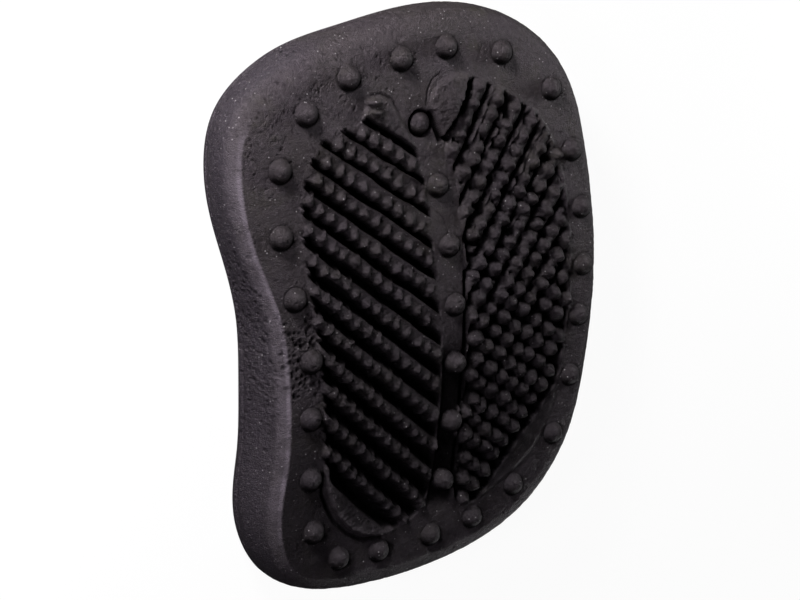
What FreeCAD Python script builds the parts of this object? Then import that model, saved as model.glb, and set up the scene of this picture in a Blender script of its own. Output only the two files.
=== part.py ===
import FreeCAD, Part
import math
import os

# Stick-on stomp pad: one thick rubber moulding with a studded, ribbed tread, a foam tape under it,
# and a split release liner that peels off before the pad is pressed onto the board.
# Millimetres. +Z points up out of the tread, +Y along the long side, origin under the pad's centre.
# The outlines are drawn about a point near the middle of the spine, and the finished solids are moved by
# DRAWING_SHIFT so that the origin is at the centre of the pad's outline box.

# ---- Layers, from the board side up ----
LINER_THICKNESS = 0.15
ADHESIVE_THICKNESS = 0.10
FOAM_THICKNESS = 0.80
RUBBER_THICKNESS = 12.0
TAPE_INSET = 0.7
LINER_SLIT = 0.2

LOWER_ADHESIVE_Z = LINER_THICKNESS
FOAM_Z = LOWER_ADHESIVE_Z + ADHESIVE_THICKNESS
UPPER_ADHESIVE_Z = FOAM_Z + FOAM_THICKNESS
RUBBER_Z = UPPER_ADHESIVE_Z + ADHESIVE_THICKNESS
FACE_Z = RUBBER_Z + RUBBER_THICKNESS

# ---- Outline of the face: x, y, and how far the base flares out beyond it ----
FACE_OUTLINE = [
    (4.7, 70.2, 2.5),
    (21.5, 68.4, 2.4),
    (37.1, 57.4, 2.6),
    (45.8, 35.5, 2.6),
    (49.6, 7.9, 2.6),
    (47.7, -18.7, 2.6),
    (40.6, -42.8, 3.0),
    (24.5, -58.8, 3.6),
    (2.5, -65.8, 4.4),
    (-21.8, -66.9, 5.0),
    (-39.6, -61.5, 3.5),
    (-43.4, -48.4, 5.8),
    (-40.9, -32.9, 7.2),
    (-40.2, -16.1, 6.9),
    (-41.8, 0.4, 5.5),
    (-47.5, 16.0, 2.9),
    (-51.2, 33.0, 2.9),
    (-49.7, 48.0, 2.2),
    (-38.2, 57.5, 3.6),
    (-18.9, 65.1, 2.9),
]
WALL_BULGE = 0.9
WALL_BULGE_HEIGHT = 0.6
FACE_EDGE_RADIUS = 1.6

# ---- The two leaf-shaped fields of ribs ----
LEFT_LEAF = [
    (-12.9, 51.3),
    (-9.8, 47.5),
    (-5.5, 40.3),
    (0.0, 15.1),
    (2.9, -11.3),
    (1.2, -35.3),
    (-4.6, -52.4),
    (-14.2, -55.5),
    (-22.3, -53.7),
    (-27.3, -48.8),
    (-30.5, -38.9),
    (-31.7, -11.3),
    (-35.5, 15.1),
    (-34.8, 35.5),
    (-26.2, 45.4),
    (-20.2, 46.9),
    (-18.7, 50.5),
    (-16.0, 52.1),
]
RIGHT_LEAF = [
    (3.6, 56.4),
    (14.4, 54.7),
    (30.0, 46.3),
    (39.6, 27.1),
    (42.2, 3.1),
    (40.1, -18.5),
    (34.8, -36.5),
    (21.6, -48.5),
    (8.4, -52.1),
    (6.7, -40.1),
    (9.6, -11.3),
    (7.9, 17.5),
    (1.9, 41.5),
    (-1.7, 51.1),
]
RIB_COUNT = 13
RIB_RISE = 0.7
VALLEY_DEPTH = 1.3

# Left leaf: a point on the first row of pips, how far down the next rows lie, and how they turn.
LEFT_FIRST_ROW = (-13.2, 39.6)
LEFT_ROW_STEP = 6.12
LEFT_ROW_STEP_GROWTH = 0.10
LEFT_ROW_ANGLE = -32.0
LEFT_ROW_TURN = -1.15

# Right leaf: its rows fan out along a line through FAN_CENTRE.
FAN_CENTRE = (24.0, 3.1)
FAN_DIRECTION = (0.829, -0.559)
FIRST_ROW_ALONG_FAN = -32.9
RIGHT_ROW_STEP = 5.28
RIGHT_ROW_STEP_GROWTH = -0.0365
RIGHT_ROW_ANGLE = 63.5
RIGHT_ROW_TURN = -1.25

# Each pair holds the value at the first rib and at the last one.
LEFT_VALLEY_WIDTHS = (1.4, 4.3)
RIGHT_VALLEY_WIDTHS = (1.4, 2.0)
LEFT_PIP_PITCHES = (3.86, 3.36)
RIGHT_PIP_PITCHES = (3.86, 4.46)

# From a row of pips down to the edge of the valley under it.
LEFT_LEDGE = 1.1
RIGHT_LEDGE = 1.9

# ---- Pips on the ribs ----
PIP_RISE = 1.7
PIP_TIP_RADIUS = 0.4
PIP_FOOT_RADIUS = 1.55
PIP_MARGIN = 1.3
MOST_PIPS_EACH_WAY = 30

# ---- Domed studs ----
STUD_RADIUS = 2.75
STUD_RISE = 2.3
RING_STUDS = [
    (-40.8, 36.3),
    (-34.0, 48.7),
    (-23.1, 56.3),
    (-9.2, 60.2),
    (3.2, 62.7),
    (19.0, 61.0),
    (34.1, 51.8),
    (41.1, 36.2),
    (44.7, 21.3),
    (45.8, 6.2),
    (44.8, -7.2),
    (42.5, -23.1),
    (37.3, -38.3),
    (24.8, -50.2),
    (12.0, -56.6),
    (-0.6, -58.8),
    (-15.8, -59.8),
    (-27.0, -59.4),
    (-33.7, -51.3),
    (-34.3, -37.8),
    (-34.1, -22.9),
    (-33.6, -8.9),
    (-37.5, 6.4),
    (-40.8, 21.1),
]
SPINE_STUD_COUNT = 7
SPINE_TOP_Y = 45.1
SPINE_STUD_SPACING = 15.0
SPINE_CREST = (6.7, -12.0)
SPINE_CURVATURE = 0.00325
TOP_STUD_RECESS_RADIUS = 3.3
TOP_STUD_RECESS_DEPTH = 1.2
TOP_STUD_SINK = 1.0

DRAWING_SHIFT = (1.0, -0.42)

# ---- How far cutting and joining shapes run past the faces they meet ----
OVERRUN = 1.0
ROOT = 0.2
REACH = 90.0
TOLERANCE = 0.001


def at_share(pair, share):
    """The value a share of the way from the first of the pair to the second."""
    return pair[0] + (pair[1] - pair[0]) * share


def left_rib(k):
    """Point on rib k's row of pips, its direction in degrees, the valley width below it and the pip pitch."""
    share = k / (RIB_COUNT - 1)
    drop = LEFT_ROW_STEP * k + LEFT_ROW_STEP_GROWTH * k * k
    point = (LEFT_FIRST_ROW[0], LEFT_FIRST_ROW[1] - drop)
    degrees = LEFT_ROW_ANGLE + LEFT_ROW_TURN * k
    return point, degrees, at_share(LEFT_VALLEY_WIDTHS, share), at_share(LEFT_PIP_PITCHES, share)


def right_rib(k):
    """The same for the right leaf."""
    share = k / (RIB_COUNT - 1)
    along = FIRST_ROW_ALONG_FAN + RIGHT_ROW_STEP * k + RIGHT_ROW_STEP_GROWTH * k * k
    point = (FAN_CENTRE[0] + FAN_DIRECTION[0] * along, FAN_CENTRE[1] + FAN_DIRECTION[1] * along)
    degrees = RIGHT_ROW_ANGLE + RIGHT_ROW_TURN * k
    return point, degrees, at_share(RIGHT_VALLEY_WIDTHS, share), at_share(RIGHT_PIP_PITCHES, share)


def spline_wire(points, z):
    """A smooth closed wire through the points, at height z."""
    curve = Part.BSplineCurve()
    curve.interpolate(Points=[FreeCAD.Vector(x, y, z) for x, y in points], PeriodicFlag=True)
    return Part.Wire([curve.toShape()])


def prism(points, z, height):
    """A straight-sided solid with a smooth closed outline."""
    return Part.Face(spline_wire(points, z)).extrude(FreeCAD.Vector(0, 0, height))


def moved_out(outline, distances):
    """The outline with each point moved outwards along its own normal. The points run clockwise."""
    moved = []
    for i, (x, y) in enumerate(outline):
        before = outline[i - 1]
        after = outline[(i + 1) % len(outline)]
        along_x = after[0] - before[0]
        along_y = after[1] - before[1]
        length = math.hypot(along_x, along_y)
        moved.append((x - along_y / length * distances[i], y + along_x / length * distances[i]))
    return moved


def face_outline():
    return [(x, y) for x, y, flare in FACE_OUTLINE]


def base_outline(inset=0.0):
    """The outline at the foot of the flared wall, pulled in by inset."""
    return moved_out(face_outline(), [flare - inset for x, y, flare in FACE_OUTLINE])


def rubber_body():
    """The moulding without its tread: a flared wall with a slight bulge and a rounded face edge."""
    waist = [flare * (1 - WALL_BULGE_HEIGHT) + WALL_BULGE for x, y, flare in FACE_OUTLINE]
    waist_z = RUBBER_Z + WALL_BULGE_HEIGHT * RUBBER_THICKNESS
    sections = [
        spline_wire(base_outline(), RUBBER_Z),
        spline_wire(moved_out(face_outline(), waist), waist_z),
        spline_wire(face_outline(), FACE_Z),
    ]
    body = Part.makeLoft(sections, True, False)
    face_edges = [edge for edge in body.Edges if edge.BoundBox.ZMin > FACE_Z - OVERRUN]
    return body.makeFillet(FACE_EDGE_RADIUS, face_edges)


def inside(outline_face, x, y):
    """True where (x, y) lies on the flat face, which is at height zero."""
    return outline_face.isInside(FreeCAD.Vector(x, y, 0), TOLERANCE, True)


def valleys(leaf, rib, ledge):
    """The grooves between the ribs of one leaf. One lies above the first rib and one below each rib."""
    depth = VALLEY_DEPTH + RIB_RISE + OVERRUN
    floor_z = FACE_Z - VALLEY_DEPTH
    bars = []
    for k in range(-1, RIB_COUNT):
        (x, y), degrees, width, pitch = rib(k)
        corner = FreeCAD.Vector(-REACH, -ledge - width, floor_z)
        bar = Part.makeBox(2 * REACH, width, depth, corner)
        bar.rotate(FreeCAD.Vector(0, 0, 0), FreeCAD.Vector(0, 0, 1), degrees)
        bar.translate(FreeCAD.Vector(x, y, 0))
        bars.append(bar)
    field = prism(leaf, floor_z - OVERRUN, depth + 2 * OVERRUN)
    return field.common(Part.makeCompound(bars))


def clear_of_outline(field, x, y):
    """True where a pip at (x, y) keeps its margin from the leaf's outline."""
    return all(
        inside(field, x + dx, y + dy)
        for dx, dy in ((PIP_MARGIN, 0), (-PIP_MARGIN, 0), (0, PIP_MARGIN), (0, -PIP_MARGIN))
    )


def pip_places(leaf, rib):
    """Where the pips of one leaf stand: evenly spaced along each rib."""
    field = Part.Face(spline_wire(leaf, 0))
    places = []
    for k in range(RIB_COUNT):
        (x, y), degrees, width, pitch = rib(k)
        along_x = math.cos(math.radians(degrees))
        along_y = math.sin(math.radians(degrees))
        for step in range(-MOST_PIPS_EACH_WAY, MOST_PIPS_EACH_WAY + 1):
            place = (x + step * pitch * along_x, y + step * pitch * along_y)
            if clear_of_outline(field, *place):
                places.append(place)
    return places


def pip(x, y):
    """One pip: a steep blunt cone that stands on the valley floor and rises above its rib."""
    height = ROOT + VALLEY_DEPTH + RIB_RISE + PIP_RISE
    foot = FreeCAD.Vector(x, y, FACE_Z - VALLEY_DEPTH - ROOT)
    return Part.makeCone(PIP_FOOT_RADIUS, PIP_TIP_RADIUS, height, foot)


def spine_stud_places():
    """Studs down the spine between the leaves, on a shallow arc."""
    places = []
    for i in range(SPINE_STUD_COUNT):
        y = SPINE_TOP_Y - i * SPINE_STUD_SPACING
        places.append((SPINE_CREST[0] - SPINE_CURVATURE * (y - SPINE_CREST[1]) ** 2, y))
    return places


def stud(x, y, sink=0.0):
    """A domed stud: the cap of a sphere, STUD_RADIUS wide and STUD_RISE high."""
    sphere_radius = (STUD_RADIUS**2 + STUD_RISE**2) / (2 * STUD_RISE)
    centre = FreeCAD.Vector(x, y, FACE_Z + STUD_RISE - sphere_radius - sink)
    return Part.makeSphere(sphere_radius, centre)


def tread_pad():
    """The whole rubber moulding: body, raised leaves with their valleys, pips and studs."""
    body = rubber_body()
    leaves = ((LEFT_LEAF, left_rib, LEFT_LEDGE), (RIGHT_LEAF, right_rib, RIGHT_LEDGE))
    body = body.multiFuse([prism(leaf, FACE_Z - OVERRUN, OVERRUN + RIB_RISE) for leaf, rib, ledge in leaves])
    body = body.cut([valleys(leaf, rib, ledge) for leaf, rib, ledge in leaves])
    top_x, top_y = spine_stud_places()[0]
    recess_floor = FreeCAD.Vector(top_x, top_y, FACE_Z - TOP_STUD_RECESS_DEPTH)
    recess_height = TOP_STUD_RECESS_DEPTH + RIB_RISE + OVERRUN
    body = body.cut(Part.makeCylinder(TOP_STUD_RECESS_RADIUS, recess_height, recess_floor))
    pips = [pip(x, y) for leaf, rib, ledge in leaves for x, y in pip_places(leaf, rib)]
    studs = [stud(x, y) for x, y in RING_STUDS + spine_stud_places()[1:]]
    studs.append(stud(top_x, top_y, TOP_STUD_SINK))
    return body.multiFuse(pips + studs)


def tape_layer(z, thickness):
    """One layer of the foam tape, cut a little smaller than the rubber's foot."""
    return prism(base_outline(TAPE_INSET), z, thickness)


def liner_half(side):
    """Half of the release liner. side is -1 for the left half and 1 for the right one."""
    liner = tape_layer(0, LINER_THICKNESS)
    start_x = LINER_SLIT / 2 if side > 0 else -LINER_SLIT / 2 - REACH
    corner = FreeCAD.Vector(start_x - DRAWING_SHIFT[0], -REACH, -OVERRUN)
    half = Part.makeBox(REACH, 2 * REACH, LINER_THICKNESS + 2 * OVERRUN, corner)
    return liner.common(half)


def single_solid(shape):
    """The one solid that a boolean operation left, with its seams merged."""
    return shape.removeSplitter().Solids[0]


def main():
    os.makedirs("parts", exist_ok=True)
    nodes = {
        "tread_pad": tread_pad(),
        "upper_adhesive_film": tape_layer(UPPER_ADHESIVE_Z, ADHESIVE_THICKNESS),
        "foam_carrier": tape_layer(FOAM_Z, FOAM_THICKNESS),
        "lower_adhesive_film": tape_layer(LOWER_ADHESIVE_Z, ADHESIVE_THICKNESS),
        "release_liner_left": liner_half(-1),
        "release_liner_right": liner_half(1),
    }
    for name, shape in nodes.items():
        solid = single_solid(shape)
        solid.translate(FreeCAD.Vector(DRAWING_SHIFT[0], DRAWING_SHIFT[1], 0))
        solid.exportStep(os.path.join("parts", name + ".step"))


main()
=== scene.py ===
import math

import bpy
import numpy as np
from mathutils import Matrix, Vector


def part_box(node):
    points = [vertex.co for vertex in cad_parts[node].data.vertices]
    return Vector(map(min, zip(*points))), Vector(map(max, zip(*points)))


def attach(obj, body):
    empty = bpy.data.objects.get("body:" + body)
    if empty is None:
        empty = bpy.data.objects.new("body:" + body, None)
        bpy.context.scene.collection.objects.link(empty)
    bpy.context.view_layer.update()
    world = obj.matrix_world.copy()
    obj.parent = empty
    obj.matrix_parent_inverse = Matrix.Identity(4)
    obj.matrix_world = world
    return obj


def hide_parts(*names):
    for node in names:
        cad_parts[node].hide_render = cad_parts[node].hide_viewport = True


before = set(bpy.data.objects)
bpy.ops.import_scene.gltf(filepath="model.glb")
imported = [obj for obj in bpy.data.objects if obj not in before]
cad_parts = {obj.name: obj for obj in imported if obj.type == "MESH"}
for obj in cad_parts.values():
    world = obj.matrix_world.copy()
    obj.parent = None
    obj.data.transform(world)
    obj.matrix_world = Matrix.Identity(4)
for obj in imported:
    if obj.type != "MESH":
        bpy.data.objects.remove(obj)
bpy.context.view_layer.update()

# The tread pad is rebuilt here as one closed mesh with its full relief: studs, ribs, pips, lands, pits and
# scratches. The tape and the liner keep their CAD shapes. Lengths are millimetres until the mesh is made.

MM = 0.001
PAD_LOW, PAD_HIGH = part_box("tread_pad")

# ---- Body ----
TREAD_HEIGHT = 2.4
RUBBER_THICKNESS = 12.0
BASE_Z = PAD_LOW.z / MM
FACE_Z = PAD_HIGH.z / MM - TREAD_HEIGHT

# x, y, how far the base flares out beyond the face, how far in the edge's rounding starts, how far down it
# ends, and the angle in degrees at which it leaves the face
FACE_OUTLINE = [
    (4.7, 70.2, 2.5, 4.2, 4.2, 0),
    (21.5, 68.4, 2.4, 3.4, 3.4, 0),
    (37.1, 57.4, 2.6, 2.8, 2.8, 0),
    (45.8, 35.5, 2.6, 2.4, 2.4, 0),
    (49.6, 7.9, 2.6, 2.2, 2.2, 0),
    (47.7, -18.7, 2.6, 2.2, 2.2, 0),
    (40.6, -42.8, 3.0, 2.4, 2.4, 0),
    (24.5, -58.8, 3.6, 2.4, 2.4, 5),
    (2.5, -65.8, 4.4, 2.2, 2.4, 10),
    (-21.8, -66.9, 5.0, 2.0, 2.4, 20),
    (-39.6, -61.5, 3.5, 1.7, 2.6, 28),
    (-43.4, -48.4, 5.8, 1.4, 2.6, 32),
    (-40.9, -32.9, 7.2, 1.2, 2.6, 34),
    (-40.2, -16.1, 6.9, 1.2, 2.8, 34),
    (-41.8, 0.4, 5.5, 1.2, 3.2, 36),
    (-47.5, 16.0, 2.9, 1.3, 3.8, 38),
    (-51.2, 33.0, 2.9, 1.3, 4.4, 36),
    (-49.7, 48.0, 2.2, 2.6, 4.4, 20),
    (-38.2, 57.5, 3.6, 4.2, 4.4, 4),
    (-18.9, 65.1, 2.9, 4.4, 4.4, 0),
]
PARTING_HEIGHT = 1.5
PARTING_DEPTH = 0.35
WALL_BULGE = 0.9
WALL_BULGE_HEIGHT = 0.6
PARTING_HALF_WIDTH = 0.45
FACE_CENTRE = (-1.0, 2.0)
FACE_FADE = 1.5
DRAWING_SHIFT = (1.0, -0.42, 0.0)
GRID = 460
EDGE_RINGS = 12
WALL_RINGS = 40
OUTLINE_POINTS = 1200
LEAF_POINTS = 240
COARSE_LEAF_POINTS = 60

# ---- Leaves, ribs and pips ----
LEFT_LEAF = [
    (-12.9, 51.3),
    (-9.8, 47.5),
    (-5.5, 40.3),
    (0.0, 15.1),
    (2.9, -11.3),
    (1.2, -35.3),
    (-4.6, -52.4),
    (-14.2, -55.5),
    (-22.3, -53.7),
    (-27.3, -48.8),
    (-30.5, -38.9),
    (-31.7, -11.3),
    (-35.5, 15.1),
    (-34.8, 35.5),
    (-26.2, 45.4),
    (-20.2, 46.9),
    (-18.7, 50.5),
    (-16.0, 52.1),
]
RIGHT_LEAF = [
    (3.6, 56.4),
    (14.4, 54.7),
    (30.0, 46.3),
    (39.6, 27.1),
    (42.2, 3.1),
    (40.1, -18.5),
    (34.8, -36.5),
    (21.6, -48.5),
    (8.4, -52.1),
    (6.7, -40.1),
    (9.6, -11.3),
    (7.9, 17.5),
    (1.9, 41.5),
    (-1.7, 51.1),
]
RIB_COUNT = 13
LEFT_FIRST_ROW = (-13.2, 39.6)
LEFT_ROW_STEP = 6.12
LEFT_ROW_STEP_GROWTH = 0.10
LEFT_ROW_ANGLE = -32.0
LEFT_ROW_TURN = -1.15
FAN_CENTRE = (24.0, 3.1)
FAN_DIRECTION = (0.829, -0.559)
FIRST_ROW_ALONG_FAN = -32.9
RIGHT_ROW_STEP = 5.28
RIGHT_ROW_STEP_GROWTH = -0.0365
RIGHT_ROW_ANGLE = 63.5
RIGHT_ROW_TURN = -1.25
LEFT_VALLEY_WIDTHS = (1.4, 4.3)
RIGHT_VALLEY_WIDTHS = (1.4, 2.0)
LEFT_PIP_PITCHES = (3.86, 3.36)
RIGHT_PIP_PITCHES = (3.86, 4.46)
FIRST_VALLEY_WIDENING = 1.6
LEFT_LEDGE = 1.1
RIGHT_LEDGE = 1.9
PIP_MARGIN = 1.3
MOST_PIPS_EACH_WAY = 30
RIB_WAVER = 0.22
RIB_WAVER_SEED = 100
RIB_WAVER_LENGTH = 5.0
VALLEY_FLOOR = -1.9

# Left leaf. Pairs run from its first rib to its last.
LAND_RISE = 0.75
CRESCENT_RISE = 1.6
CRESCENT_SLOPE = 0.24
CREST_RISE = 0.85
CREST_HALF_WIDTH = 0.75
CREST_PLACES = (3.5, 2.2)
RIDGE_RISE = 0.9
RIDGE_HALF_WIDTH = 1.5
RIDGE_FROM_TO = (0.35, 0.9)
LEFT_FLOOR_DROP = 0.3
LEFT_PIP_HALF_LENGTHS = (1.55, 1.20)
LEFT_PIP_RISES = (1.9, 1.2)
LEFT_PIP_UPHILL = (2.5, 1.6)
LEFT_PIP_DOWNHILL = (1.15, 1.0)
LEFT_PIP_OFFSET = 0.45
LEFT_PIP_WARP = 0.45
CAP_PIPS = [(-16.8, 50.6), (-16.2, 48.2)]
CAP_PIP_RISE = 1.1
CAP_PIP_HALF_SIZES = (1.8, 0.9)

# Right leaf
PETAL_SLOPE = 0.36
PETAL_REACH = 6.0
WEDGE_CREST_RISE = 0.75
RIGHT_RIDGE_RISE = 0.6
RIGHT_RIDGE_HALF_WIDTH = 1.4
WAFFLE_FLOOR = -1.2
SHALLOW_FLOOR = -0.9
GAP_SHARE = 0.75
WEDGE_HALF_LENGTH = 2.05
WEDGE_HALF_WIDTH = 2.25
WEDGE_RISE = 2.0

PIP_FOOT_RISE = 0.1
PIP_REACH = 4.0
PIP_TIP_SHARPNESS = 1.1
PIP_SQUARENESS = 0.35

# ---- Studs ----
STUD_RADIUS = 2.75
STUD_RISE = 2.3
RING_STUDS = [
    (-40.8, 36.3),
    (-34.0, 48.7),
    (-23.1, 56.3),
    (-9.2, 60.2),
    (3.2, 62.7),
    (19.0, 61.0),
    (34.1, 51.8),
    (41.1, 36.2),
    (44.7, 21.3),
    (45.8, 6.2),
    (44.8, -7.2),
    (42.5, -23.1),
    (37.3, -38.3),
    (24.8, -50.2),
    (12.0, -56.6),
    (-0.6, -58.8),
    (-15.8, -59.8),
    (-27.0, -59.4),
    (-33.7, -51.3),
    (-34.3, -37.8),
    (-34.1, -22.9),
    (-33.6, -8.9),
    (-37.5, 6.4),
    (-40.8, 21.1),
]
SPINE_STUD_COUNT = 7
SPINE_TOP_Y = 45.1
SPINE_STUD_SPACING = 15.0
SPINE_CREST = (6.7, -12.0)
SPINE_CURVATURE = 0.00325
TOP_STUD_RECESS_RADIUS = 3.3
TOP_STUD_RECESS_DEPTH = 1.3
TOP_STUD_SINK = 1.0
STUD_REACH = 4.0
STUD_GROOVE_DEPTH = 0.10
STUD_PINHOLE_DEPTH = 0.2
STUD_PINHOLE_PLACE = 0.9
STUD_PINHOLE_RADIUS = 0.45

# ---- Spine and unevenness ----
SPINE_HOLLOW_DEPTH = 1.1
SPINE_HOLLOW_HALF_WIDTH = 4.8

# ---- Painted shade, as shares of the darkest, and the crease's painted highlight ----
# Painted shade inside the leaves, at the top end and at the bottom end
LEAF_PAINTED_SHADE = (0.33, 0.60)
# Painted shade on the lower-left border
LOWER_LEFT_PAINTED_SHADE = 0.5
# Painted shade on the studs, and the side of each stud that gets the painted shadow
STUD_PAINTED_SHADE = 0.30
STUD_SHADOWED_SIDE = (0.35, -0.94)
# How much of the crease's painted highlight reaches down the wall
WALL_HIGHLIGHT_FADE = 0.6

# Noise seed, distance between peaks and height
FACE_WAVES = [(1, 16.0, 0.10), (2, 6.0, 0.05)]
SKIN_WAVES = [(5, 7.0, 0.08), (6, 2.2, 0.06), (7, 0.8, 0.05)]
PIP_GRAIN = [(9, 1.1, 0.16), (10, 0.6, 0.14)]
BUBBLES = [(8, 0.9, 0.11)]

# Where pits lie, how many, their least and greatest radius and depth
PITS = [
    ("left_border", 110, (0.35, 0.8), (0.15, 0.4)),
    ("hollow_wall", 170, (0.3, 0.8), (0.10, 0.3)),
    ("top_left_corner", 110, (0.3, 0.5), (0.10, 0.25)),
    ("top_left_edge", 130, (0.3, 0.55), (0.12, 0.3)),
    ("everywhere", 300, (0.28, 0.5), (0.08, 0.2)),
]

# Grooves cut into the face: points, half width, depth
GROOVES = [
    ([(-1.2, 47.2), (0.3, 44.0), (1.6, 41.2)], 0.8, 1.6),
    ([(9.0, 8.0), (9.6, -11.3), (8.6, -28.0), (6.9, -42.0), (7.4, -50.0)], 0.55, 1.2),
    (
        [
            (-31.2, -37.6),
            (-31.3, -42.2),
            (-29.8, -46.2),
            (-27.9, -50.2),
            (-24.4, -53.8),
            (-20.2, -56.0),
            (-15.0, -56.6),
        ],
        0.55,
        0.7,
    ),
    ([(-2.3, 49.4), (-2.1, 52.6), (-0.8, 55.2), (1.4, 56.8)], 0.28, 0.22),
    ([(-17.4, 52.2), (-14.8, 52.4), (-11.8, 51.1), (-9.5, 47.8)], 0.3, 0.3),
    ([(0.6, 23.6), (2.4, 21.9), (3.7, 19.6), (4.2, 17.3)], 0.2, 0.25),
    ([(-15.5, 63.0), (-11.0, 60.3), (-4.4, 55.4)], 0.18, 0.18),
]


# ---- Numbers ----
def ramp(value, low, high):
    """Smooth step from 0 at low to 1 at high."""
    t = np.clip((value - low) / (high - low), 0, 1)
    return t * t * (3 - 2 * t)


def at_share(pair, share):
    return pair[0] + (pair[1] - pair[0]) * share


def smooth_max(a, b, blend):
    near = np.maximum(blend - np.abs(a - b), 0) / blend
    return np.maximum(a, b) + near * near * blend / 4


def noise(seed, size, *coords):
    """Smooth random values from -1 to 1 over two or three coordinates. size is the distance between peaks."""
    cells = 64
    lattice = np.random.default_rng(seed).uniform(-1, 1, (cells,) * len(coords))
    base, part = [], []
    for c in coords:
        f = np.floor(c / size)
        base.append(f.astype(int))
        t = c / size - f
        part.append(t * t * (3 - 2 * t))
    total = 0
    for corner in range(2 ** len(coords)):
        weight, index = 1, []
        for axis in range(len(coords)):
            bit = corner >> axis & 1
            weight = weight * (part[axis] if bit else 1 - part[axis])
            index.append((base[axis] + bit) % cells)
        total = total + weight * lattice[tuple(index)]
    return total


def waves(layers, *coords):
    """Sum of several noises, each given as seed, distance between peaks and height."""
    return sum(height * noise(seed, size, *coords) for seed, size, height in layers)


def closed_curve(keys, count):
    """Points on the smooth closed curve through the keys. Columns after x and y are carried along."""
    keys = np.array(keys, float)
    n = len(keys)
    chord = np.roll(keys, -1, 0) - keys
    step = np.hypot(chord[:, 0], chord[:, 1])
    before = np.roll(step, 1)
    matrix = np.diag(2 * (before + step))
    for i in range(n):
        matrix[i, (i + 1) % n] += step[i]
        matrix[i, i - 1] += before[i]
    slope = chord / step[:, None]
    bend = np.linalg.solve(matrix, 6 * (slope - np.roll(slope, 1, 0)))
    along = np.concatenate([[0], np.cumsum(step)])
    u = np.arange(count) / count * along[-1]
    i = np.minimum(np.searchsorted(along, u, side="right") - 1, n - 1)
    j = (i + 1) % n
    h = step[i][:, None]
    a = u[:, None] - along[i][:, None]
    b = h - a
    cubic = (bend[i] * b**3 + bend[j] * a**3) / (6 * h)
    return cubic + (keys[i] / h - bend[i] * h / 6) * b + (keys[j] / h - bend[j] * h / 6) * a


def distance_inside(x, y, outline):
    """Distance of each point from a closed outline, positive inside it."""
    result = np.empty(len(x))
    ax, ay = outline[:, 0], outline[:, 1]
    bx, by = np.roll(ax, -1), np.roll(ay, -1)
    dx, dy = bx - ax, by - ay
    chunk = 20000
    for start in range(0, len(x), chunk):
        px = x[start:start + chunk, None]
        py = y[start:start + chunk, None]
        t = np.clip(((px - ax) * dx + (py - ay) * dy) / (dx * dx + dy * dy), 0, 1)
        far = np.hypot(px - ax - t * dx, py - ay - t * dy).min(1)
        crossing = ((ay > py) != (by > py)) & (px < dx * (py - ay) / np.where(dy == 0, 1, dy) + ax)
        result[start:start + chunk] = np.where(crossing.sum(1) % 2 == 1, far, -far)
    return result


def distance_to_line(x, y, points):
    """Distance of each point from an open polyline."""
    far = np.full(len(x), 1e9)
    for (ax, ay), (bx, by) in zip(points, points[1:]):
        dx, dy = bx - ax, by - ay
        t = np.clip(((x - ax) * dx + (y - ay) * dy) / (dx * dx + dy * dy), 0, 1)
        far = np.minimum(far, np.hypot(x - ax - t * dx, y - ay - t * dy))
    return far


# ---- Rows of pips and places of studs, as in the CAD part ----
def left_rib(k):
    """Point on rib k's row of pips, its direction in degrees, the valley width below it and the pip pitch."""
    share = k / (RIB_COUNT - 1)
    drop = LEFT_ROW_STEP * k + LEFT_ROW_STEP_GROWTH * k * k
    point = (LEFT_FIRST_ROW[0], LEFT_FIRST_ROW[1] - drop)
    degrees = LEFT_ROW_ANGLE + LEFT_ROW_TURN * k
    return point, degrees, at_share(LEFT_VALLEY_WIDTHS, share), at_share(LEFT_PIP_PITCHES, share)


def right_rib(k):
    share = k / (RIB_COUNT - 1)
    along = FIRST_ROW_ALONG_FAN + RIGHT_ROW_STEP * k + RIGHT_ROW_STEP_GROWTH * k * k
    point = (FAN_CENTRE[0] + FAN_DIRECTION[0] * along, FAN_CENTRE[1] + FAN_DIRECTION[1] * along)
    degrees = RIGHT_ROW_ANGLE + RIGHT_ROW_TURN * k
    return point, degrees, at_share(RIGHT_VALLEY_WIDTHS, share), at_share(RIGHT_PIP_PITCHES, share)


def pip_places(outline, rib):
    """x, y, direction and rib number of each pip of one leaf."""
    places = []
    for k in range(RIB_COUNT):
        (x, y), degrees, width, pitch = rib(k)
        a = math.radians(degrees)
        for step in range(-MOST_PIPS_EACH_WAY, MOST_PIPS_EACH_WAY + 1):
            places.append((x + step * pitch * math.cos(a), y + step * pitch * math.sin(a), a, k))
    places = np.array(places)
    clear = np.ones(len(places), bool)
    for dx, dy in ((PIP_MARGIN, 0), (-PIP_MARGIN, 0), (0, PIP_MARGIN), (0, -PIP_MARGIN)):
        clear &= distance_inside(places[:, 0] + dx, places[:, 1] + dy, outline) > 0
    return places[clear]


def spine_stud_places():
    y = SPINE_TOP_Y - SPINE_STUD_SPACING * np.arange(SPINE_STUD_COUNT)
    return np.stack([SPINE_CREST[0] - SPINE_CURVATURE * (y - SPINE_CREST[1]) ** 2, y], 1)


# ---- Relief of the face: height above the border, in mm ----
def nearby(x, y, px, py, reach):
    return np.nonzero((np.abs(x - px) < reach) & (np.abs(y - py) < reach))[0]


def turned(dx, dy, angle):
    """Offsets along and across a direction."""
    c, s = math.cos(angle), math.sin(angle)
    return c * dx + s * dy, c * dy - s * dx


def pip_radius(u, v, blunt):
    """Distance from a pip's tip, 1 at its foot. Its plan is between a lozenge and an ellipse."""
    r = PIP_SQUARENESS * (np.abs(u) + np.abs(v)) + (1 - PIP_SQUARENESS) * np.hypot(u, v)
    return np.sqrt(r * r + blunt)


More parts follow.
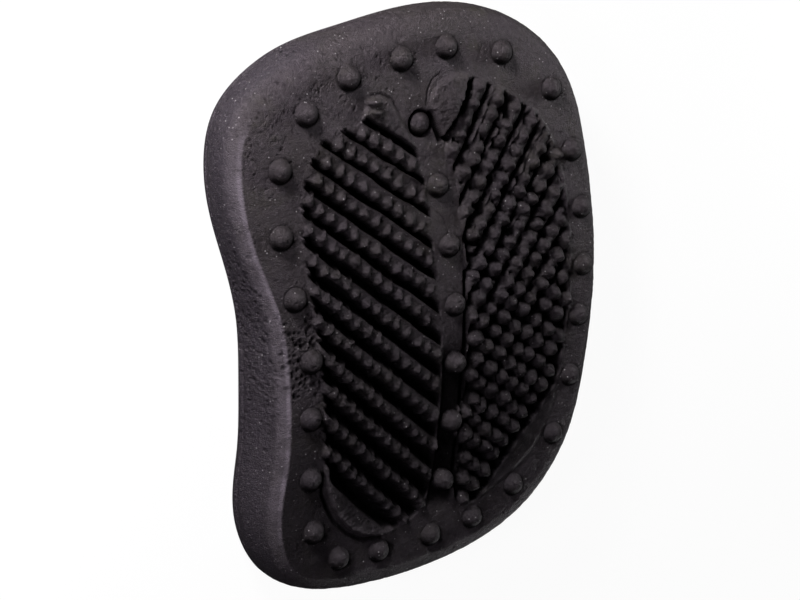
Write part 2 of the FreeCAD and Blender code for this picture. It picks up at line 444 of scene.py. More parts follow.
def leaf_relief(x, y, outline, rib, ledge, border_side):
    """For each point: distance inside the leaf, its rib, distance up from the rib's pips, share of valley."""
    inside = distance_inside(x, y, outline)
    number = np.full(len(x), RIB_COUNT)
    up = np.zeros(len(x))
    valley = np.zeros(len(x))
    for k in range(RIB_COUNT - 1, -2, -1):
        (px, py), degrees, width, pitch = rib(k)
        c, s = math.cos(math.radians(degrees)), math.sin(math.radians(degrees))
        along = c * (x - px) + s * (y - py)
        waver = RIB_WAVER * noise(RIB_WAVER_SEED + k, RIB_WAVER_LENGTH, along, np.zeros(len(along)))
        above = c * (y - py) - s * (x - px) + waver
        if k < 0:
            width = width * FIRST_VALLEY_WIDENING
        middle = -ledge - width / 2
        valley = np.maximum(valley, ramp(width / 2 - np.abs(above - middle), -0.2, 0.4))
        higher = above > middle
        number = np.where(higher, k, number)
        up = np.where(higher, above, up)
    run_out = 0.7 + 3.2 * border_side
    valley = valley * ramp(inside, 0.0, run_out)
    return inside, number, up, valley


def left_leaf(x, y, height):
    """Ribs with a ledge, a thin broken crest along its upper edge and a row of noses on the lower edge."""
    outline = closed_curve(LEFT_LEAF, LEAF_POINTS)
    border_side = ramp(-x, 4.0, 18.0)
    inside, number, up, valley = leaf_relief(x, y, outline, left_rib, LEFT_LEDGE, border_side)
    share = np.clip(number / (RIB_COUNT - 1), 0, 1)
    broken = np.clip(0.55 + 0.9 * noise(41, 2.1, x, y), 0, 1.2)
    from_crest = np.abs(up - at_share(CREST_PLACES, share))
    crest = CREST_RISE * broken * ramp(CREST_HALF_WIDTH - from_crest, 0, 0.5)
    ledge = 0.05 + 0.15 * ramp(up, 0.4, 3.0) + crest
    ridge = RIDGE_RISE * ramp(share, *RIDGE_FROM_TO) * np.maximum(1 - (up / RIDGE_HALF_WIDTH) ** 2, 0)
    crescent = number >= RIB_COUNT
    land = (number < 0) | crescent
    lens = CRESCENT_RISE - CRESCENT_SLOPE * np.clip(inside, 0, 5)
    rise = np.where(land, np.where(crescent, lens, LAND_RISE), ledge + ridge)
    plateau = ramp(inside, -0.1, np.where(crescent, 0.5, 1.1))
    top = height + plateau * rise
    height = top + valley * (VALLEY_FLOOR - LEFT_FLOOR_DROP * share - top)
    rng = np.random.default_rng(21)
    for px, py, a, k in pip_places(outline, left_rib):
        share = k / (RIB_COUNT - 1)
        a += rng.normal(0, 0.08)
        px, py = px + rng.normal(0, 0.14), py + rng.normal(0, 0.14)
        wide = at_share(LEFT_PIP_HALF_LENGTHS, share) * rng.uniform(0.9, 1.1)
        tall = at_share(LEFT_PIP_RISES, share) * rng.uniform(0.8, 1.1)
        near = nearby(x, y, px, py, PIP_REACH)
        u, v = turned(x[near] - px, y[near] - py, a)
        u = u + LEFT_PIP_WARP * noise(44, 1.4, x[near], y[near])
        v = v + LEFT_PIP_OFFSET + LEFT_PIP_WARP * noise(45, 1.4, x[near], y[near])
        v = np.where(v > 0, v / at_share(LEFT_PIP_UPHILL, share), v / at_share(LEFT_PIP_DOWNHILL, share))
        lean_u, lean_v = rng.normal(0, 0.3), rng.normal(-0.1, 0.22)
        r = pip_radius(u / wide, v, 0.004)
        foot = PIP_FOOT_RISE + ridge_share(share)
        nose = foot + tall * PIP_TIP_SHARPNESS * (1 - r) + (lean_u * u + lean_v * v) * ramp(1.1 - r, 0, 0.5)
        skirt = foot - (r - 1) * 5.0
        height[near] = smooth_max(height[near], np.where(r < 1, nose, skirt), 0.25)
    for px, py in CAP_PIPS:
        near = nearby(x, y, px, py, 3.0)
        r = np.hypot((x[near] - px) / CAP_PIP_HALF_SIZES[0], (y[near] - py) / CAP_PIP_HALF_SIZES[1])
        height[near] = smooth_max(height[near], LAND_RISE + CAP_PIP_RISE * (1 - r * r), 0.2)
    return height


def ridge_share(share):
    """How far the lower ribs' ridges lift their pips."""
    return 0.5 * ramp(np.array(share), *RIDGE_FROM_TO)


def right_leaf(x, y, height):
    """Ribs crowded with uneven wedges, a domed petal above them and a waffle of pits low down."""
    outline = closed_curve(RIGHT_LEAF, LEAF_POINTS)
    border_side = np.maximum(ramp(x, 18.0, 32.0), ramp(y, 46.0, 54.0))
    inside, number, up, valley = leaf_relief(x, y, outline, right_rib, RIGHT_LEDGE, border_side)
    waffle = ramp(-y, -8.0, 14.0)
    land = (number < 0) | (number >= RIB_COUNT)
    broken = ramp(noise(42, 5.0, x, y), -0.1, 0.4)
    crest = WEDGE_CREST_RISE * broken * ramp(np.abs(up + 0.1), 1.5, 2.0) * ramp(y, 10.0, 30.0)
    petal = (number < 0) * PETAL_SLOPE * np.clip(inside, 0, PETAL_REACH)
    ridge = RIGHT_RIDGE_RISE * np.maximum(1 - (up / RIGHT_RIDGE_HALF_WIDTH) ** 2, 0)
    rise = np.where(land, 0.3 + petal, 0.2 + crest + ridge)
    plateau = ramp(inside, -0.1, 1.1)
    top = height + plateau * rise
    sunk = np.where(land, top, top + (WAFFLE_FLOOR - top) * waffle * ramp(inside, 0.2, 2.0))
    deep = np.maximum(1 - ramp(x, 11.0, 22.0), 0.8 * ramp(-y, -8.0, 22.0))
    floor = at_share((SHALLOW_FLOOR, VALLEY_FLOOR), deep)
    gaps = GAP_SHARE * ramp(noise(43, 1.9, x, y), -0.2, 0.5) * ~land * ramp(inside, 0.3, 1.5)
    height = sunk + np.maximum(valley, gaps) * np.minimum(floor - sunk, 0)
    rng = np.random.default_rng(22)
    for px, py, a, k in pip_places(outline, right_rib):
        px, py = px + rng.normal(0, 0.34), py + rng.normal(0, 0.34)
        a = a + rng.normal(0, 0.22)
        along = WEDGE_HALF_LENGTH * rng.uniform(0.8, 1.15)
        across = WEDGE_HALF_WIDTH * rng.uniform(0.8, 1.15)
        tall = WEDGE_RISE * rng.uniform(0.7, 1.1)
        lean_u, lean_v = rng.normal(0, 0.28), rng.normal(-0.1, 0.28)
        near = nearby(x, y, px, py, PIP_REACH)
        u, v = turned(x[near] - px, y[near] - py, a)
        r = pip_radius(u / along, v / across, 0.006)
        lean = (lean_u * u + lean_v * v) * ramp(1.1 - r, 0, 0.5)
        wedge = PIP_FOOT_RISE + tall * PIP_TIP_SHARPNESS * (1 - r) + lean
        skirt = PIP_FOOT_RISE - (r - 1) * 4.0
        height[near] = smooth_max(height[near], np.where(r < 1, wedge, skirt), 0.15)
    return height


def relief(x, y):
    """The face without its studs: border, spine, leaves, scratches and the first stud's recess."""
    height = waves(FACE_WAVES, x, y)
    spine_x = SPINE_CREST[0] - SPINE_CURVATURE * (y - SPINE_CREST[1]) ** 2
    along_spine = ramp(-y, 2.0, 20.0) * ramp(y, -55.0, -46.0)
    height -= SPINE_HOLLOW_DEPTH * ramp(SPINE_HOLLOW_HALF_WIDTH - np.abs(x - spine_x), 0, 2.0) * along_spine
    height = left_leaf(x, y, height)
    height = right_leaf(x, y, height)
    for line, half_width, depth in GROOVES:
        far = distance_to_line(x, y, line)
        height -= depth * ramp(half_width - far, -0.5 * half_width, 0.5 * half_width)
    spine = spine_stud_places()
    recess = np.hypot(x - spine[0, 0], y - spine[0, 1])
    sunk = ramp(TOP_STUD_RECESS_RADIUS - recess, -0.25, 0.25)
    return height + (-TOP_STUD_RECESS_DEPTH - height) * sunk


def add_studs(x, y, height):
    """The height with the domed studs of the ring and the spine on it."""
    sphere = (STUD_RADIUS**2 + STUD_RISE**2) / (2 * STUD_RISE)
    places = [(px, py, 0.0) for px, py in RING_STUDS]
    places += [(px, py, TOP_STUD_SINK if i == 0 else 0.0) for i, (px, py) in enumerate(spine_stud_places())]
    rng = np.random.default_rng(23)
    for px, py, sink in places:
        near = nearby(x, y, px, py, STUD_REACH)
        r = np.hypot(x[near] - px, y[near] - py)
        cap = np.sqrt(np.maximum(sphere**2 - r * r, 0)) - sphere + STUD_RISE - sink
        cap = np.where(r < sphere - 0.02, cap, -9.0)
        groove = STUD_GROOVE_DEPTH * ramp(0.45 - np.abs(r - STUD_RADIUS - 0.1), 0, 0.3)
        turn = rng.uniform(0, 2 * math.pi)
        hole_x, hole_y = px + STUD_PINHOLE_PLACE * math.cos(turn), py + STUD_PINHOLE_PLACE * math.sin(turn)
        from_hole = np.hypot(x[near] - hole_x, y[near] - hole_y)
        cap = cap - STUD_PINHOLE_DEPTH * ramp(STUD_PINHOLE_RADIUS - from_hole, 0, 0.25)
        height[near] = smooth_max(height[near] - groove, cap, 0.2)
    return height


# ---- Mesh of the moulding ----
def moved_out(outline, distances):
    """The clockwise outline with each point moved outwards along its own normal."""
    tangent = np.roll(outline, -1, 0) - np.roll(outline, 1, 0)
    tangent /= np.hypot(tangent[:, 0], tangent[:, 1])[:, None]
    normal = np.stack([-tangent[:, 1], tangent[:, 0]], 1)
    return outline + normal * distances[:, None]


def disc_map(n):
    """A square grid of points mapped onto the unit disc: radius and angle of each."""
    side = np.linspace(-1, 1, n + 1)
    a, b = np.meshgrid(side, side, indexing="ij")
    wide = np.abs(a) > np.abs(b)
    safe_a, safe_b = np.where(a == 0, 1, a), np.where(b == 0, 1, b)
    angle = np.where(wide, math.pi / 4 * b / safe_a, math.pi / 2 - math.pi / 4 * a / safe_b)
    angle[(a == 0) & (b == 0)] = 0
    radius = np.where(wide, a, b)
    return radius, angle


def loop_of_grid(n):
    """Indices of the grid's outermost points, anticlockwise."""
    index = np.arange((n + 1) ** 2).reshape(n + 1, n + 1)
    return np.concatenate([index[:-1, 0], index[-1, :-1], index[:0:-1, -1], index[0, :0:-1]])


def mesh_faces(loop):
    """Squares of the face grid, strips between the rings below it, and the flat underside."""
    index = np.arange((GRID + 1) ** 2).reshape(GRID + 1, GRID + 1)
    quads = [np.stack([index[:-1, :-1], index[1:, :-1], index[1:, 1:], index[:-1, 1:]], -1).reshape(-1, 4)]
    rings = [loop]
    for j in range(EDGE_RINGS + WALL_RINGS):
        rings.append((GRID + 1) ** 2 + j * len(loop) + np.arange(len(loop)))
    for upper, lower in zip(rings, rings[1:]):
        quads.append(np.stack([upper, lower, np.roll(lower, -1), np.roll(upper, -1)], 1))
    faces = np.concatenate(quads).tolist()
    faces.append(rings[-1][::-1].tolist())
    return faces


def pad_mesh():
    """Vertices in mm and faces of the moulding: face grid, edge and wall rings, flat underside."""
    keys = np.array(FACE_OUTLINE)
    inner = moved_out(keys[:, :2], -keys[:, 3])
    curve = closed_curve(np.column_stack([inner, keys[:, 2:]]), OUTLINE_POINTS)
    offset = curve[:, :2] - FACE_CENTRE
    polar = np.arctan2(offset[:, 1], offset[:, 0])
    order = np.argsort(polar)
    polar, curve, reach = polar[order], curve[order], np.hypot(offset[:, 0], offset[:, 1])[order]

    radius, angle = disc_map(GRID)
    angle = np.where(radius < 0, angle + math.pi, angle).ravel()
    radius = np.abs(radius).ravel() * np.interp(angle, polar, reach, period=2 * math.pi)
    x = FACE_CENTRE[0] + radius * np.cos(angle)
    y = FACE_CENTRE[1] + radius * np.sin(angle)
    loop = loop_of_grid(GRID)
    lx, ly = x[loop], y[loop]
    boundary = distance_inside(x, y, np.column_stack([lx, ly])[::4])
    height = relief(x, y) * ramp(boundary, 0.0, FACE_FADE)

    flare = np.interp(angle[loop], polar, curve[:, 2], period=2 * math.pi)
    edge, drop, crease = (np.interp(angle[loop], polar, curve[:, i], period=2 * math.pi) for i in (3, 4, 5))
    crease = np.radians(np.maximum(crease, 0))
    tx, ty = np.roll(lx, -1) - np.roll(lx, 1), np.roll(ly, -1) - np.roll(ly, 1)
    length = np.hypot(tx, ty)
    nx, ny = ty / length, -tx / length

    def wall_offset(z):
        u = 1 + z / RUBBER_THICKNESS
        bulge = u * (1 - u) / (WALL_BULGE_HEIGHT * (1 - WALL_BULGE_HEIGHT))
        return flare * (1 - u) + WALL_BULGE * bulge

    vertices = [np.column_stack([x, y, FACE_Z + height])]
    shoulder = wall_offset(-drop)
    for j in range(1, EDGE_RINGS + 1):
        turn = crease + (math.pi / 2 - crease) * j / EDGE_RINGS
        out = (edge + shoulder) * (np.sin(turn) - np.sin(crease)) / (1 - np.sin(crease))
        z = -drop * (np.cos(crease) - np.cos(turn)) / np.cos(crease)
        vertices.append(np.column_stack([lx + nx * out, ly + ny * out, FACE_Z + z]))
    top = np.concatenate(vertices)
    top[:, 2] = FACE_Z + add_studs(top[:, 0], top[:, 1], top[:, 2] - FACE_Z)
    vertices = [top]
    for j in range(1, WALL_RINGS + 1):
        z = -drop + (drop - RUBBER_THICKNESS) * j / WALL_RINGS
        seam = ramp(PARTING_HALF_WIDTH - abs(z + RUBBER_THICKNESS - PARTING_HEIGHT), 0, 0.3)
        out = edge + wall_offset(z) - PARTING_DEPTH * seam
        vertices.append(np.column_stack([lx + nx * out, ly + ny * out, FACE_Z + z]))
    return np.concatenate(vertices), mesh_faces(loop)


def ring_share(x, y):
    """1 on the studs of the ring, which are smoother than the leaves, and 0 away from them."""
    nearest = np.full(len(x), 1e9)
    for px, py in RING_STUDS:
        nearest = np.minimum(nearest, np.hypot(x - px, y - py))
    return 0.85 * ramp(STUD_RADIUS + 0.8 - nearest, 0, 0.6)


def roughen(points, normals):
    """The points with the unevenness and pits of the moulding, and the painted shade in each point's pit."""
    x, y, z = points.T
    push = waves(SKIN_WAVES, x, y, z)
    raised = ramp(z, FACE_Z + 0.2, FACE_Z + 0.9)
    push += raised * waves(PIP_GRAIN, x, y, z) * (1 - ring_share(x, y))
    face = ramp(z, FACE_Z - 1.0, FACE_Z - 0.5)
    zones = {
        "left_border": face * ramp(-x, 24.5, 28.0) * ramp(9.0 - np.abs(y + 9.0), -4.0, 6.0),
        "hollow_wall": (1 - face) * ramp(-x, 34.0, 38.0) * ramp(24.0 - np.abs(y + 6.0), -6.0, 8.0),
        "top_left_corner": face * ramp(-x - 0.2 * y, -6.0, 14.0) * ramp(y, 22.0, 48.0),
        "top_left_edge": ramp(y - 0.35 * x, 60.0, 66.0) * ramp(-x, -12.0, 6.0),
        "everywhere": np.ones(len(x)),
    }
    push += waves(BUBBLES, x, y, z) * np.maximum(zones["left_border"], 0.7 * zones["hollow_wall"])
    dark = np.zeros(len(x))
    rng = np.random.default_rng(31)
    upper = (z > BASE_Z + 0.5) & (z < FACE_Z + 0.4)
    for zone, count, sizes, depths in PITS:
        chance = zones[zone] * upper
        centres = rng.choice(len(x), count, p=chance / chance.sum())
        for i in centres:
            size = rng.uniform(*sizes)
            beside = (np.abs(x - x[i]) < size) & (np.abs(y - y[i]) < size)
            near = np.nonzero(beside & (np.abs(z - z[i]) < size))[0]
            r = np.linalg.norm(points[near] - points[i], axis=1) / size
            depth = rng.uniform(*depths)
            push[near] -= depth * np.maximum(1 - r * r, 0)
            # Painted shade in the pits: the deeper the pit, the darker
            dark[near] = np.maximum(dark[near], 3.0 * depth * np.maximum(1 - r * r, 0))
    push *= ramp(z, BASE_Z, BASE_Z + 0.6)
    return points + normals * push[:, None], np.minimum(dark, 1)


def stud_shade(x, y):
    """Painted shade on the studs: a little on each but a lit upper-left spot, and a painted shadow round its
    foot, most below.
    """
    shade = np.zeros(len(x))
    for px, py in RING_STUDS + spine_stud_places().tolist():
        near = nearby(x, y, px, py, STUD_REACH)
        dx, dy = x[near] - px, y[near] - py
        r = np.hypot(dx, dy)
        lower = ramp((STUD_SHADOWED_SIDE[0] * dx + STUD_SHADOWED_SIDE[1] * dy) / np.maximum(r, 0.1), -0.5, 0.6)
        foot = ramp(r, 1.2, 2.4) * ramp(STUD_RADIUS + 0.7 - r, 0, 0.4)
        body = STUD_PAINTED_SHADE * ramp(STUD_RADIUS + 0.2 - r, 0, 0.4) * ramp(np.hypot(dx + 0.5, dy - 0.9), 0.2, 1.4)
        shade[near] = np.maximum(shade[near], np.maximum(body, foot * (0.3 + 0.7 * lower)))
    return shade


def crease_highlight_share():
    """Painted highlight on each edge vertex: most in a crisp line along the crease, then ever less down the
    wall.
    """
    count = 4 * GRID
    start = (GRID + 1) ** 2
    share = np.zeros(start + count * (EDGE_RINGS + WALL_RINGS))
    for j in range(EDGE_RINGS + 1):
        strength = 1.0 if j < 2 else WALL_HIGHLIGHT_FADE * (1 - j / (EDGE_RINGS + 1))
        share[start + j * count:start + (j + 1) * count] = strength
    return share


def new_mesh(name, vertices, faces):
    mesh = bpy.data.meshes.new(name)
    mesh.from_pydata((vertices * MM).tolist(), [], faces)
    mesh.update()
    return mesh


def shading_shares(drawn, on_face, pits):
    """Per vertex: its painted shade, its share of the hollow side's wall, and its crease's painted highlight.
    """
    x, y, z = drawn.T
    leaf = np.zeros(len(x))
    for outline in (LEFT_LEAF, RIGHT_LEAF):
        curve = closed_curve(outline, COARSE_LEAF_POINTS)
        leaf[on_face] += ramp(distance_inside(x[on_face], y[on_face], curve), 0.3, 2.5)
    # Painted shade: darker the lower a point lies below the face (in leaves already at their ledges), and in
    # the pits
    painted_shade = np.maximum(ramp(FACE_Z + 0.5 * leaf - z, -0.05, 1.0) * on_face, 0.8 * pits)
    # Painted shade: the leaves darker than the border, more so towards the bottom end
    leaf_shade = at_share(LEAF_PAINTED_SHADE, ramp(-y, -15.0, 35.0)) * np.minimum(leaf, 1)
    painted_shade = np.maximum(painted_shade, leaf_shade)
    # Painted shade on the lower-left part of the face, below the tops of pips and studs
    lower_left = ramp(-x, 18.0, 28.0) * ramp(-y, 8.0, 34.0) * on_face
    painted_shade = np.maximum(painted_shade, LOWER_LEFT_PAINTED_SHADE * lower_left * (z < FACE_Z + 0.4))
    # Painted shade and painted shadow on the studs
    painted_shade = np.maximum(painted_shade, stud_shade(x, y) * (z > FACE_Z - 1.0))
    side = ramp(FACE_Z - z, 0.3, 4.0) * ~on_face * ramp(-x - DRAWING_SHIFT[0], 20.0, 42.0)
    hollow_side = ramp(-x, 33.0, 38.0) * ramp(y, -62.0, -40.0) * ramp(-y, -50.0, -36.0)
    return {"painted_shade": painted_shade, "side": side, "crease_highlight": crease_highlight_share() * hollow_side}


def build_pad():
    vertices, faces = pad_mesh()
    mesh = new_mesh("tread_pad_surface", vertices, faces)
    normals = np.empty(len(vertices) * 3, np.float32)
    mesh.vertices.foreach_get("normal", normals)
    drawn, pits = roughen(vertices, normals.reshape(-1, 3).astype(float))
    placed = drawn + DRAWING_SHIFT
    mesh.vertices.foreach_set("co", (placed * MM).astype(np.float32).ravel())
    smooth = np.ones(len(faces), bool)
    smooth[-1] = False
    mesh.polygons.foreach_set("use_smooth", smooth)
    on_face = np.arange(len(drawn)) < (GRID + 1) ** 2
    for name, share in shading_shares(drawn, on_face, pits).items():
        attribute = mesh.attributes.new(name, "FLOAT", "POINT")
        attribute.data.foreach_set("value", share.astype(np.float32))
    mesh.update()
    pad = bpy.data.objects.new("rubber_moulding", mesh)
    bpy.context.scene.collection.objects.link(pad)
    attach(pad, "pad")
    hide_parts("tread_pad")
    return pad


# ---- Materials ----
# Rubber colours. Pairs are at the lower end and at the top end, the top end lighter as painted light.
BROWN = ((0.0068, 0.0054, 0.0067, 1), (0.025, 0.0196, 0.0230, 1))
OLIVE = ((0.0072, 0.0060, 0.0058, 1), (0.023, 0.0194, 0.0176, 1))
STAIN = ((0.0080, 0.0072, 0.0050, 1), (0.028, 0.0255, 0.0185, 1))
# Violet, lighter colour of the left side wall's painted reflection
VIOLET = ((0.013, 0.0106, 0.0136, 1), (0.025, 0.0206, 0.0275, 1))
DUST = ((0.019, 0.0165, 0.018, 1), (0.062, 0.052, 0.057, 1))
SOOT = (0.006, 0.0055, 0.006, 1)
GLINT = (0.10, 0.092, 0.095, 1)
SPECK = (0.34, 0.32, 0.33, 1)
# Light colour of the crease's painted highlight
CREASE_HIGHLIGHT_COLOUR = (0.125, 0.107, 0.126, 1)
# Near black of the painted shade
PAINTED_SHADE_COLOUR = (0.0015, 0.0013, 0.0015, 1)
SHEEN = (1.0, 0.86, 0.98, 1)


class Graph:
    """Shader nodes of one material."""

    def __init__(self, name):
        self.material = bpy.data.materials.new(name)
        self.material.use_nodes = True
        self.tree = self.material.node_tree
        self.tree.nodes.clear()
        self.place = self.node("ShaderNodeTexCoord").outputs["Object"]

    def node(self, kind, inputs=None, **settings):
        made = self.tree.nodes.new(kind)
        for key, value in settings.items():
            setattr(made, key, value)
        for key, value in (inputs or {}).items():
            if isinstance(value, bpy.types.NodeSocket):
                self.tree.links.new(value, made.inputs[key])
            else:
                made.inputs[key].default_value = value
        return made

    def attribute(self, name):
        return self.node("ShaderNodeAttribute", attribute_name=name).outputs["Fac"]

    def noise(self, size_mm, detail=3.0, rough=0.5, stretch=None):
        """Noise whose features are about size_mm across."""
        place = self.place
        if stretch:
            place = self.node("ShaderNodeMapping", {"Vector": place, "Scale": stretch}).outputs[0]
        made = self.node(
            "ShaderNodeTexNoise",
            {"Vector": place, "Scale": 1000 / size_mm, "Detail": detail, "Roughness": rough},
        )
        return made.outputs["Fac"]

    def spots(self, size_mm, low, high):
        """1 in the middle of scattered cells, 0 elsewhere."""
        cells = self.node("ShaderNodeTexVoronoi", {"Vector": self.place, "Scale": 1000 / size_mm})
        return self.remap(cells.outputs["Distance"], low, high, 1, 0)

    def remap(self, value, low, high, out_low, out_high):
        made = self.node(
            "ShaderNodeMapRange",
            {"Value": value, "From Min": low, "From Max": high, "To Min": out_low, "To Max": out_high},
        )
        return made.outputs["Result"]

    def maths(self, operation, a, b):
        return self.node("ShaderNodeMath", {0: a, 1: b}, operation=operation).outputs[0]

    def mix(self, share, a, b):
        made = self.node("ShaderNodeMix", data_type="RGBA")
        for key, value in ((0, share), (6, a), (7, b)):
            if isinstance(value, bpy.types.NodeSocket):
                self.tree.links.new(value, made.inputs[key])
            else:
                made.inputs[key].default_value = value
        return made.outputs[2]

    def bump(self, height, distance_mm, strength=1.0, normal=None):
        inputs = {"Height": height, "Distance": distance_mm * MM, "Strength": strength}
        if normal is not None:
            inputs["Normal"] = normal
        return self.node("ShaderNodeBump", inputs).outputs["Normal"]

    def finish(self, inputs):
        shader = self.node("ShaderNodeBsdfPrincipled", inputs)
        self.node("ShaderNodeOutputMaterial", {"Surface": shader.outputs["BSDF"]})
        return self.material


def rubber():
    """Black rubber: greyer towards the top end as painted light, and faintly violet on the side wall as a
    painted reflection.
    """
    g = Graph("tread_rubber_black")
    painted_shade, side, crease_highlight = (g.attribute(name) for name in ("painted_shade", "side", "crease_highlight"))
    where = g.node("ShaderNodeSeparateXYZ", {0: g.place})
    # Painted light: every rubber colour turns lighter towards the top end, nearer the key lamp
    painted_light_to_top = g.remap(where.outputs["Y"], -0.045, 0.068, 0, 1)
    grain = g.noise(0.8, 6.0, 0.7)
    fine = g.noise(0.3, 3.0, 0.6)

    def shaded(colours):
        return g.mix(painted_light_to_top, *colours)

    colour = g.mix(g.remap(g.noise(14.0, 3.0), 0.35, 0.65, 0, 1), shaded(BROWN), shaded(OLIVE))
    colour = g.mix(g.remap(g.noise(9.0, 4.0, 0.6), 0.53, 0.66, 0, 0.8), colour, shaded(STAIN))
    # Painted reflection: the left side wall tinted violet and lighter, as lit from the left lamp
    colour = g.mix(g.maths("MULTIPLY", side, 0.85), colour, shaded(VIOLET))
    colour = g.mix(g.remap(g.noise(1.1, 6.0, 0.75), 0.50, 0.62, 0, 0.7), colour, shaded(DUST))
    colour = g.mix(g.remap(g.noise(1.3, 6.0, 0.7), 0.32, 0.47, 0.85, 0), colour, SOOT)
    glints = g.maths("MULTIPLY", g.spots(0.9, 0.09, 0.14), g.remap(g.noise(3.0, 3.0), 0.45, 0.60, 0, 0.8))
    colour = g.mix(glints, colour, GLINT)
    specks = g.maths("MULTIPLY", g.spots(1.5, 0.08, 0.13), g.remap(g.noise(7.0, 3.0), 0.42, 0.58, 0, 1))
    colour = g.mix(specks, colour, SPECK)
    # Painted highlight along the hollow side's crease, in patches
    patchy_highlight = g.maths("MULTIPLY", crease_highlight, g.remap(g.noise(5.0, 4.0, 0.6), 0.35, 0.6, 0.4, 1.0))
    colour = g.mix(patchy_highlight, colour, CREASE_HIGHLIGHT_COLOUR)
    # Painted shade: darkens the colour towards near black, and below it also takes most of the specular sheen
    # away
    colour = g.mix(g.maths("MULTIPLY", painted_shade, 0.9), colour, PAINTED_SHADE_COLOUR)

    rough = g.remap(grain, 0.3, 0.7, 0.44, 0.62)
    rough = g.maths("SUBTRACT", rough, g.maths("MULTIPLY", side, 0.14))
    normal = g.bump(g.noise(2.4, 4.0, 0.6), 0.45, 0.6)
    normal = g.bump(grain, 0.42, 1.0, normal)
    normal = g.bump(fine, 0.24, 1.0, normal)
    normal = g.bump(g.spots(1.1, 0.05, 0.22), -0.12, 0.6, normal)
    return g.finish({
        "Base Color": colour,
        "Roughness": rough,
        "Specular IOR Level": g.remap(painted_shade, 0, 1, 0.5, 0.03),
        "Specular Tint": SHEEN,
        "Normal": normal,
    })


def foam():
    g = Graph("tape_foam_black")
    cells = g.spots(0.12, 0.1, 0.6)
    colour = g.mix(g.noise(1.5), (0.018, 0.018, 0.019, 1), (0.04, 0.04, 0.042, 1))
    colour = g.mix(g.maths("MULTIPLY", cells, 0.6), colour, (0.010, 0.010, 0.011, 1))
    normal = g.bump(cells, -0.08, 0.8)
    return g.finish({"Base Color": colour, "Roughness": 0.85, "Normal": normal})


def adhesive():
    g = Graph("tape_adhesive_clear")
    colour = g.mix(g.noise(6.0, 4.0), (0.50, 0.47, 0.38, 1), (0.62, 0.60, 0.50, 1))
    rough = g.remap(g.noise(1.8, 4.0), 0.3, 0.7, 0.16, 0.34)
    normal = g.bump(g.noise(0.7, 4.0), 0.05, 0.5)
    return g.finish({"Base Color": colour, "Roughness": rough, "Coat Weight": 0.3, "Normal": normal})


def liner():
    g = Graph("liner_silicone_paper")
    fibres = g.noise(0.35, 5.0, 0.6, (1.0, 0.16, 1.0))
    cloud = g.noise(3.5, 4.0, 0.55)
    colour = g.mix(g.remap(cloud, 0.3, 0.7, 0, 1), (0.70, 0.60, 0.42, 1), (0.80, 0.71, 0.53, 1))
    colour = g.mix(g.remap(fibres, 0.52, 0.70, 0, 0.5), colour, (0.58, 0.47, 0.31, 1))
    rough = g.remap(fibres, 0.3, 0.7, 0.38, 0.55)
    normal = g.bump(fibres, 0.04, 0.5, g.bump(cloud, 0.10, 0.25))
    return g.finish({"Base Color": colour, "Roughness": rough, "Normal": normal})


def paint(piece, material):
    piece.data.materials.clear()
    piece.data.materials.append(material)


# ---- Stage, lights and camera ----
# Name, place, size, power in watts, the point it faces and its colour
LAMPS = [
    ("light_key", (-150, 235, 92), (80, 45), 1.3, (-10, 20, 13), (1, 1, 1)),
    ("light_left", (-250, 0, 150), (90, 50), 0.42, (0, 0, 13), (0.96, 0.93, 1.0)),
    ("light_right", (220, 70, 50), (110, 50), 0.16, (0, 0, 13), (1, 1, 1)),
    ("light_low", (170, -190, 9), (120, 8), 0.08, (0, 0, 9), (1, 1, 1)),
]
LENS_MM = 63
CAMERA_BACK = (-0.502, 0.225, 0.835)
CAMERA_UP = (0.116, 0.974, -0.193)
CAMERA_TARGET = (-9.62, 3.12, FACE_Z)
CAMERA_DISTANCE = 336
BACKDROP_GLOW = 0.95
BACKDROP_LIGHT = 0.015


def look_along(back, up):
    """Rotation whose Z axis is back and whose Y axis is as near to up as it can be."""
    z = Vector(back).normalized()
    x = Vector(up).cross(z).normalized()
    return Matrix((x, z.cross(x), z)).transposed()


def lamp(name, place, size, power, target, tint):
    data = bpy.data.lights.new(name, "AREA")
    data.shape = "RECTANGLE"
    data.size, data.size_y = size[0] * MM, size[1] * MM
    data.energy = power
    data.color = tint
    lit = bpy.data.objects.new(name, data)
    bpy.context.scene.collection.objects.link(lit)
    turn = look_along(Vector(place) - Vector(target), (0, 0, 1)).to_4x4()
    lit.matrix_world = Matrix.Translation(Vector(place) * MM) @ turn
    lit.visible_camera = False
    return lit


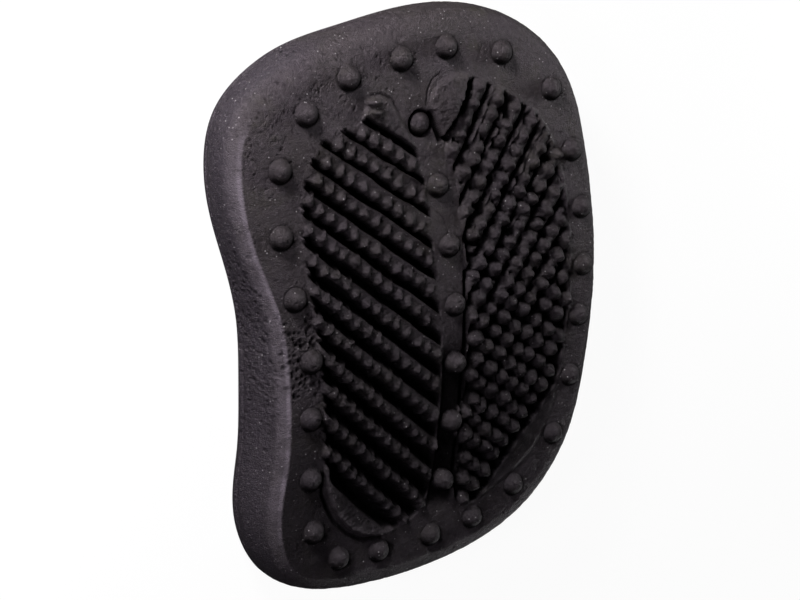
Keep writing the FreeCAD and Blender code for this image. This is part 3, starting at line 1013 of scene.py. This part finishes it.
def floor():
    mesh = bpy.data.meshes.new("studio_floor")
    reach, low = 6.0, -0.0003
    corners = [(-reach, -reach, low), (reach, -reach, low), (reach, reach, low), (-reach, reach, low)]
    mesh.from_pydata(corners, [], [(0, 1, 2, 3)])
    made = bpy.data.objects.new("studio_floor", mesh)
    bpy.context.scene.collection.objects.link(made)
    g = Graph("floor_pale")
    seen = g.node("ShaderNodeLightPath").outputs["Is Camera Ray"]
    strength = g.maths("MULTIPLY", seen, BACKDROP_GLOW)
    glow = g.node("ShaderNodeEmission", {"Color": (1, 1, 1, 1), "Strength": strength})
    matt = g.node("ShaderNodeBsdfDiffuse", {"Color": (0.06, 0.06, 0.06, 1)})
    both = g.node("ShaderNodeAddShader", {0: glow.outputs[0], 1: matt.outputs[0]})
    g.node("ShaderNodeOutputMaterial", {"Surface": both.outputs[0]})
    made.data.materials.append(g.material)


def surroundings():
    """A white backdrop for the camera that lights the object only weakly."""
    world = bpy.data.worlds.new("studio")
    bpy.context.scene.world = world
    world.use_nodes = True
    tree = world.node_tree
    tree.nodes.clear()
    seen = tree.nodes.new("ShaderNodeLightPath")
    strength = tree.nodes.new("ShaderNodeMapRange")
    tree.links.new(seen.outputs["Is Camera Ray"], strength.inputs["Value"])
    strength.inputs["To Min"].default_value = BACKDROP_LIGHT
    strength.inputs["To Max"].default_value = 1.0
    background = tree.nodes.new("ShaderNodeBackground")
    tree.links.new(strength.outputs["Result"], background.inputs["Strength"])
    out = tree.nodes.new("ShaderNodeOutputWorld")
    tree.links.new(background.outputs[0], out.inputs["Surface"])


def camera():
    data = bpy.data.cameras.new("camera")
    data.sensor_width = 36
    data.lens = LENS_MM
    data.clip_start, data.clip_end = 0.01, 50
    made = bpy.data.objects.new("camera", data)
    bpy.context.scene.collection.objects.link(made)
    back = Vector(CAMERA_BACK).normalized()
    target = Vector(CAMERA_TARGET) + Vector(DRAWING_SHIFT)
    turn = look_along(back, CAMERA_UP).to_4x4()
    made.matrix_world = Matrix.Translation((target + back * CAMERA_DISTANCE) * MM) @ turn
    bpy.context.scene.camera = made


pad = build_pad()
paint(pad, rubber())
paint(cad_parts["foam_carrier"], foam())
tacky = adhesive()
paint(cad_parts["upper_adhesive_film"], tacky)
paint(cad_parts["lower_adhesive_film"], tacky)
paper = liner()
paint(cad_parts["release_liner_left"], paper)
paint(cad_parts["release_liner_right"], paper)

surroundings()
floor()
for settings in LAMPS:
    lamp(*settings)
camera()
bpy.context.scene.view_settings.view_transform = "Standard"
